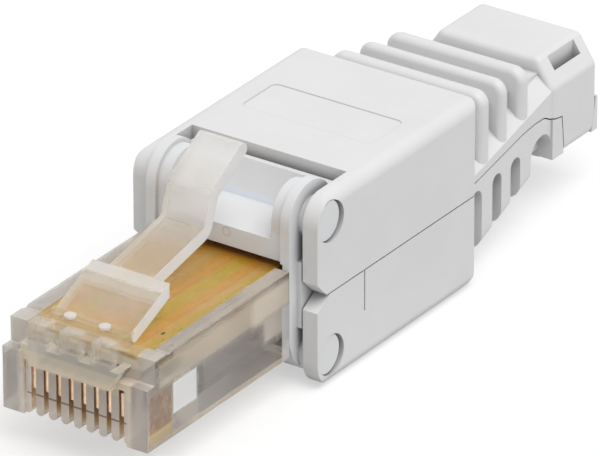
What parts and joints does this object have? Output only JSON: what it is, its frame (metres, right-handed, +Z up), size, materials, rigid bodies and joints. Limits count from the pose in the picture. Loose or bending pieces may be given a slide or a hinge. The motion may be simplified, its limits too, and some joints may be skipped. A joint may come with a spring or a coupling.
{
  "type": "ethernet modular plug",
  "caption": "Field-fit ethernet plug: clear nose with latch and gold contacts over a board, hinged white covers whose ribbed tail closes round the cable.",
  "frame": {"origin": "bottom centre of the whole plug, on the surface that it rests on", "axes": "+Z up, the latch side; +Y along the plug towards the cable; +X to the right seen from the nose with the latch up"},
  "size_m": [0.015, 0.0556, 0.0172],
  "materials": {
    "clear_plastic": "clear, slightly smoky polycarbonate",
    "white_plastic": "moulded pale grey-white plastic, satin",
    "inner_plastic": "moulded white plastic",
    "board": "circuit board with amber tracks under a glossy coat",
    "contact_metal": "gold-plated bronze",
    "terminal_metal": "tin-plated bronze"
  },
  "bodies": {
    "plug": {"carrier": "white_plastic", "plug_nose": "clear_plastic", "circuit_board": "board", "contact_holder": "inner_plastic", "contact_1": "contact_metal", "contact_2": "contact_metal", "contact_3": "contact_metal", "contact_4": "contact_metal", "contact_5": "contact_metal", "contact_6": "contact_metal", "contact_7": "contact_metal", "contact_8": "contact_metal", "upper_terminal_1": "terminal_metal", "upper_terminal_2": "terminal_metal", "upper_terminal_3": "terminal_metal", "upper_terminal_4": "terminal_metal", "lower_terminal_1": "terminal_metal", "lower_terminal_2": "terminal_metal", "lower_terminal_3": "terminal_metal", "lower_terminal_4": "terminal_metal", "upper_terminal_block": "inner_plastic", "lower_terminal_block": "inner_plastic"},
    "latch": {"latch": "clear_plastic"},
    "upper_cover": {"upper_cover": "white_plastic"},
    "lower_cover": {"lower_cover": "white_plastic"}
  },
  "joints": [
    {"name": "latch_press", "type": "hinge", "parent": "plug", "child": "latch", "pos_m": [0, -0.0246, 0.00945], "axis": [-1, 0, 0], "range_deg": [0, 13], "stiffness_Nm_per_rad": 0.3},
    {"name": "upper_cover_hinge", "type": "hinge", "parent": "plug", "child": "upper_cover", "pos_m": [0, -0.00827, 0.0122], "axis": [1, 0, 0], "range_deg": [0, 60]},
    {"name": "lower_cover_hinge", "type": "hinge", "parent": "plug", "child": "lower_cover", "pos_m": [0, -0.00827, 0.0022], "axis": [-1, 0, 0], "range_deg": [0, 60]}
  ]
}
